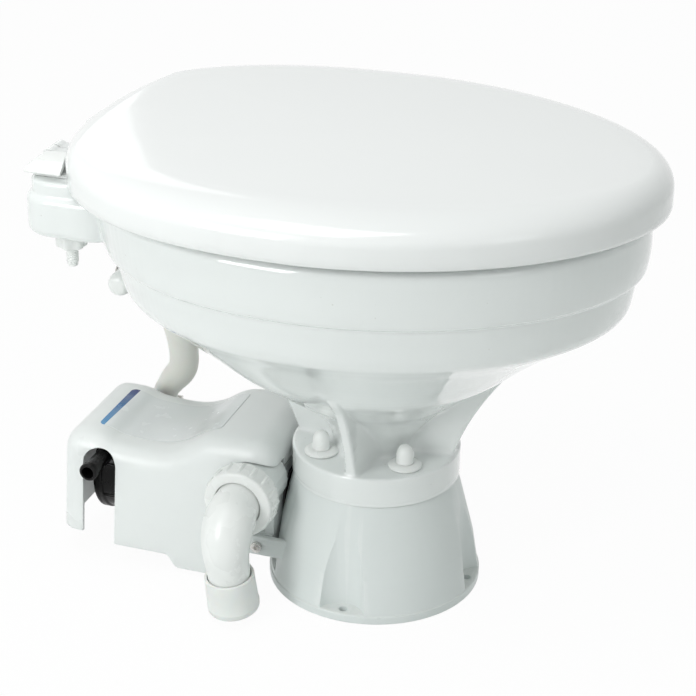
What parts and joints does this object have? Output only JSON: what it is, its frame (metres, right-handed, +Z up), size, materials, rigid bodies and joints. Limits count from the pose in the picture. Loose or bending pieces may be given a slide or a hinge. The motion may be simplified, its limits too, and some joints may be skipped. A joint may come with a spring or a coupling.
{
  "type": "electric marine toilet",
  "caption": "Electric marine toilet: oval ceramic bowl with hinged seat and lid on a round pedestal, with a covered macerator and rinse pump behind and a swivelling discharge elbow.",
  "frame": {"origin": "centre of the pedestal's underside, on the floor", "axes": "+Z up, -Y to the front of the bowl, +Y to the hinges and the pump, -X to the side with the discharge elbow; the pump's shaft lies along Y and the discharge port along X"},
  "size_m": [0.34, 0.4485, 0.352],
  "materials": {
    "ceramic": "gloss white glaze",
    "lid_plastic": "gloss white",
    "satin_base": "satin white",
    "satin_cover": "satin white",
    "white_fitting": "semi-gloss white",
    "white_rubber": "soft white",
    "hose_vinyl": "off-white vinyl",
    "black_plastic": "black",
    "dark_rubber": "matte black",
    "steel": "stainless",
    "painted_motor": "dark enamel",
    "label_film": "plain white film with a blue band"
  },
  "bodies": {
    "frame": {"bowl": "ceramic", "pedestal_base": "satin_base", "bowl_gasket": "dark_rubber", "bowl_bolt_1": "steel", "bowl_bolt_2": "steel", "bowl_bolt_3": "steel", "bowl_bolt_4": "steel", "bolt_cap_base_1": "white_fitting", "bolt_cap_base_2": "white_fitting", "bolt_cap_base_3": "white_fitting", "bolt_cap_base_4": "white_fitting", "bolt_cap_1": "white_fitting", "bolt_cap_2": "white_fitting", "bolt_cap_3": "white_fitting", "bolt_cap_4": "white_fitting", "hinge_post_left": "white_fitting", "hinge_post_right": "white_fitting", "hinge_pin_left": "steel", "hinge_pin_right": "steel", "hinge_cap_left": "white_fitting", "hinge_cap_right": "white_fitting", "hinge_bolt_left": "white_fitting", "hinge_bolt_right": "white_fitting", "hinge_nut_left": "white_fitting", "hinge_nut_right": "white_fitting", "housing_seal": "dark_rubber", "macerator_housing": "satin_base", "chopper_plate": "steel", "motor_adapter": "black_plastic", "shaft_seal": "dark_rubber", "motor_can": "painted_motor", "motor_end_bell": "painted_motor", "rinse_pump_housing": "black_plastic", "rinse_pump_cover": "black_plastic", "motor_cover": "satin_cover", "cover_label": "label_film", "joker_valve": "dark_rubber", "flush_hose": "hose_vinyl", "hose_clamp_lower": "steel", "hose_clamp_upper": "steel", "inlet_elbow": "white_fitting", "inlet_grommet": "dark_rubber", "lug_screw_left": "steel", "lug_screw_right": "steel"},
    "seat": {"seat": "lid_plastic", "seat_buffer_1": "dark_rubber", "seat_buffer_2": "dark_rubber", "seat_buffer_3": "dark_rubber", "seat_buffer_4": "dark_rubber"},
    "lid": {"lid": "lid_plastic", "lid_buffer_left": "dark_rubber", "lid_buffer_right": "dark_rubber"},
    "rotor": {"motor_shaft": "steel", "motor_armature": "steel", "macerator_blade": "steel", "discharge_impeller": "black_plastic", "rinse_impeller": "dark_rubber"},
    "union_nut": {"union_nut": "white_fitting"},
    "discharge": {"discharge_elbow": "white_fitting", "discharge_cuff": "white_rubber"}
  },
  "joints": [
    {"name": "seat_hinge", "type": "hinge", "parent": "frame", "child": "seat", "pos_m": [0, 0.236, 0.322], "axis": [-1, 0, 0], "range_deg": [0, 95]},
    {"name": "lid_hinge", "type": "hinge", "parent": "seat", "child": "lid", "pos_m": [0, 0.236, 0.322], "axis": [-1, 0, 0], "range_deg": [0, 100]},
    {"name": "motor_spin", "type": "hinge", "parent": "frame", "child": "rotor", "pos_m": [0, 0.14, 0.055], "axis": [0, 1, 0], "continuous": true},
    {"name": "union_nut_turn", "type": "hinge", "parent": "frame", "child": "union_nut", "pos_m": [-0.0695, 0.0815, 0.0815], "axis": [-1, 0, 0], "continuous": true},
    {"name": "discharge_swivel", "type": "hinge", "parent": "frame", "child": "discharge", "pos_m": [-0.0735, 0.0815, 0.0815], "axis": [-1, 0, 0], "continuous": true}
  ]
}
